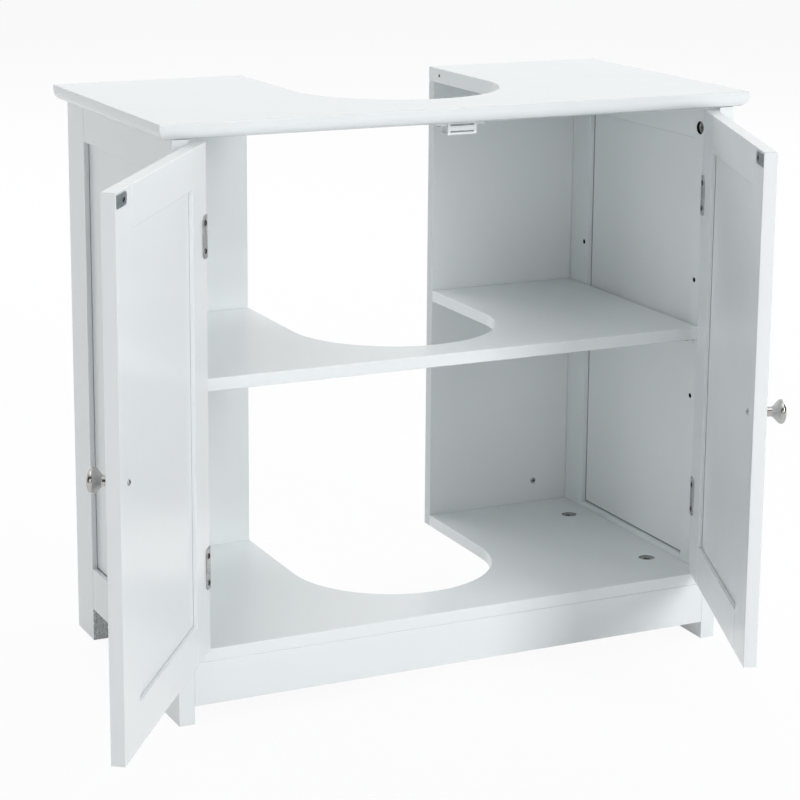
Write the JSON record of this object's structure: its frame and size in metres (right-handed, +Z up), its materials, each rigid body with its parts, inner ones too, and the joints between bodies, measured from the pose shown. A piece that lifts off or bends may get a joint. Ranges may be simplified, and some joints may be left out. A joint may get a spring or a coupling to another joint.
{
  "type": "under-basin cabinet",
  "caption": "White painted under-basin cabinet with a U-shaped pedestal cut-out through top, shelf and bottom, framed sides and inset framed doors on pin hinges.",
  "frame": {"origin": "middle of the rear left foot's sole, on the floor", "axes": "+Z up, +Y towards the wall behind the cabinet, +X towards the right as seen from the front, so the doors face -Y"},
  "size_m": [0.7326, 0.5407, 0.552],
  "materials": {
    "white_paint": "satin white paint on medium-density board",
    "white_plastic": "moulded white plastic",
    "knob_nickel": "polished nickel plate",
    "hinge_steel": "plated steel strip",
    "strike_steel": "zinc-plated steel plate",
    "zinc_fitting": "bare zinc casting",
    "pin_nickel": "nickel-plated steel",
    "ferrite": "dark sintered ferrite"
  },
  "bodies": {
    "carcass": {"top_panel": "white_paint", "bottom_panel": "white_paint", "kick_rail": "white_paint", "back_panel_left": "white_paint", "back_panel_right": "white_paint", "side_left_front_stile": "white_paint", "side_left_rear_stile": "white_paint", "side_left_top_rail": "white_paint", "side_left_bottom_rail": "white_paint", "side_left_panel": "white_paint", "side_right_front_stile": "white_paint", "side_right_rear_stile": "white_paint", "side_right_top_rail": "white_paint", "side_right_bottom_rail": "white_paint", "side_right_panel": "white_paint", "hinge_left_lower_frame_leaf": "hinge_steel", "hinge_left_lower_pin": "hinge_steel", "hinge_left_upper_frame_leaf": "hinge_steel", "hinge_left_upper_pin": "hinge_steel", "hinge_right_lower_frame_leaf": "hinge_steel", "hinge_right_lower_pin": "hinge_steel", "hinge_right_upper_frame_leaf": "hinge_steel", "hinge_right_upper_pin": "hinge_steel", "catch_body": "white_plastic", "catch_pole_upper": "strike_steel", "catch_pole_lower": "strike_steel", "catch_magnet": "ferrite", "shelf_pin_left_front": "pin_nickel", "cam_lock_top_left_front": "zinc_fitting", "cam_lock_bottom_left_front": "zinc_fitting", "shelf_pin_left_rear": "pin_nickel", "cam_lock_top_left_rear": "zinc_fitting", "cam_lock_bottom_left_rear": "zinc_fitting", "shelf_pin_right_front": "pin_nickel", "cam_lock_top_right_front": "zinc_fitting", "cam_lock_bottom_right_front": "zinc_fitting", "shelf_pin_right_rear": "pin_nickel", "cam_lock_top_right_rear": "zinc_fitting", "cam_lock_bottom_right_rear": "zinc_fitting"},
    "door_left": {"door_left_hinge_stile": "white_paint", "door_left_meeting_stile": "white_paint", "door_left_top_rail": "white_paint", "door_left_bottom_rail": "white_paint", "door_left_panel": "white_paint", "knob_left": "knob_nickel", "knob_screw_left": "zinc_fitting", "strike_plate_left": "strike_steel", "hinge_left_lower_door_leaf": "hinge_steel", "hinge_left_upper_door_leaf": "hinge_steel"},
    "door_right": {"door_right_hinge_stile": "white_paint", "door_right_meeting_stile": "white_paint", "door_right_top_rail": "white_paint", "door_right_bottom_rail": "white_paint", "door_right_panel": "white_paint", "knob_right": "knob_nickel", "knob_screw_right": "zinc_fitting", "strike_plate_right": "strike_steel", "hinge_right_lower_door_leaf": "hinge_steel", "hinge_right_upper_door_leaf": "hinge_steel"},
    "shelf": {"shelf": "white_paint"}
  },
  "joints": [
    {"name": "door_left_hinge", "type": "hinge", "parent": "carcass", "child": "door_left", "pos_m": [0.0105, -0.269, 0.3035], "axis": [0, 0, -1], "range_deg": [-125.6, 39.4]},
    {"name": "door_right_hinge", "type": "hinge", "parent": "carcass", "child": "door_right", "pos_m": [0.5465, -0.269, 0.3035], "axis": [0, 0, 1], "range_deg": [-68.1, 96.9]},
    {"name": "shelf_lift", "type": "slide", "parent": "carcass", "child": "shelf", "axis": [0, 0, 1], "range_m": [0, 0.059]}
  ]
}
